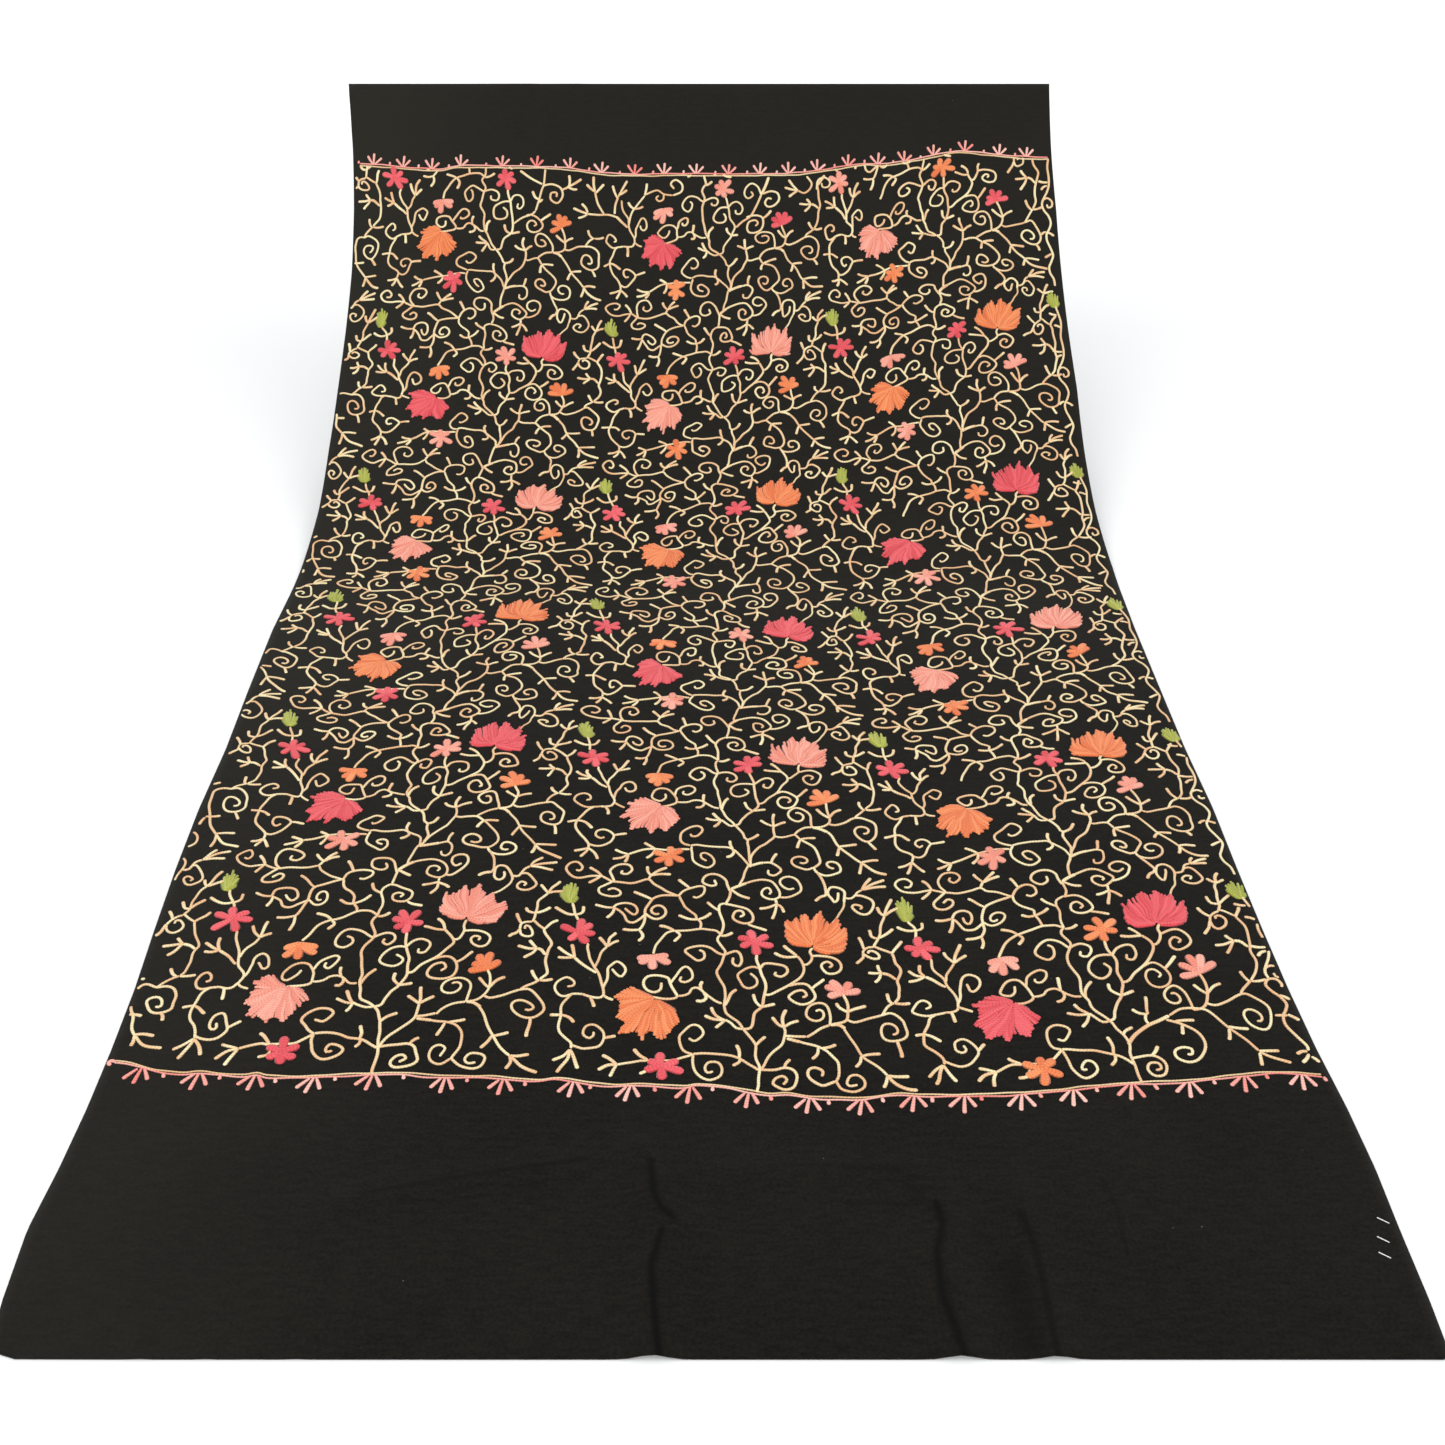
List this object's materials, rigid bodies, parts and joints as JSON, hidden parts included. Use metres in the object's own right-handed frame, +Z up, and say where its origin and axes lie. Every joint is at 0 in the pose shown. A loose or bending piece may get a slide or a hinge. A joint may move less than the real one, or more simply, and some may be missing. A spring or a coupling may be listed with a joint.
{
  "type": "wool shawl",
  "caption": "Rectangular black wool shawl laid out, near part flat and far end swept up, embroidered with curling vines, lotus fans, small flowers and two border lines.",
  "frame": {"origin": "centre of the shawl's bounding box in X and Y, on the plane it rests on (Z = 0)", "axes": "+Z up; +Y along the shawl from its near, flat end to its far, raised end; +X across it, to the right as seen from the near end"},
  "size_m": [1.0114, 1.8152, 0.4298],
  "materials": {
    "black_wool": "matt fine wool with a soft nap",
    "orange_thread": "soft sheen thread in chain stitch",
    "crimson_thread": "soft sheen thread in chain stitch",
    "salmon_thread": "soft sheen thread in chain stitch",
    "green_thread": "soft sheen thread in chain stitch",
    "tan_thread": "thread that runs from cream to tan along its length, in chain stitch",
    "white_thread": "plain basting thread"
  },
  "bodies": {
    "root": {"shawl_cloth": "black_wool", "hanging_lotus_1_1": "orange_thread", "hanging_lotus_1_2": "crimson_thread", "hanging_lotus_1_3": "salmon_thread", "hanging_lotus_2_1": "crimson_thread", "hanging_lotus_2_2": "salmon_thread", "hanging_lotus_2_3": "orange_thread", "hanging_lotus_3_1": "salmon_thread", "hanging_lotus_3_2": "orange_thread", "hanging_lotus_3_3": "crimson_thread", "hanging_lotus_4_1": "orange_thread", "hanging_lotus_4_2": "crimson_thread", "hanging_lotus_4_3": "salmon_thread", "hanging_lotus_5_1": "crimson_thread", "hanging_lotus_5_2": "salmon_thread", "hanging_lotus_5_3": "orange_thread", "hanging_lotus_6_1": "salmon_thread", "hanging_lotus_6_2": "orange_thread", "hanging_lotus_6_3": "crimson_thread", "upright_lotus_1_1": "crimson_thread", "upright_lotus_1_2": "salmon_thread", "upright_lotus_1_3": "orange_thread", "upright_lotus_2_1": "salmon_thread", "upright_lotus_2_2": "orange_thread", "upright_lotus_2_3": "crimson_thread", "upright_lotus_3_1": "orange_thread", "upright_lotus_3_2": "crimson_thread", "upright_lotus_3_3": "salmon_thread", "upright_lotus_4_1": "crimson_thread", "upright_lotus_4_2": "salmon_thread", "upright_lotus_4_3": "orange_thread", "upright_lotus_5_1": "salmon_thread", "upright_lotus_5_2": "orange_thread", "upright_lotus_5_3": "crimson_thread"}
  },
  "joints": []
}
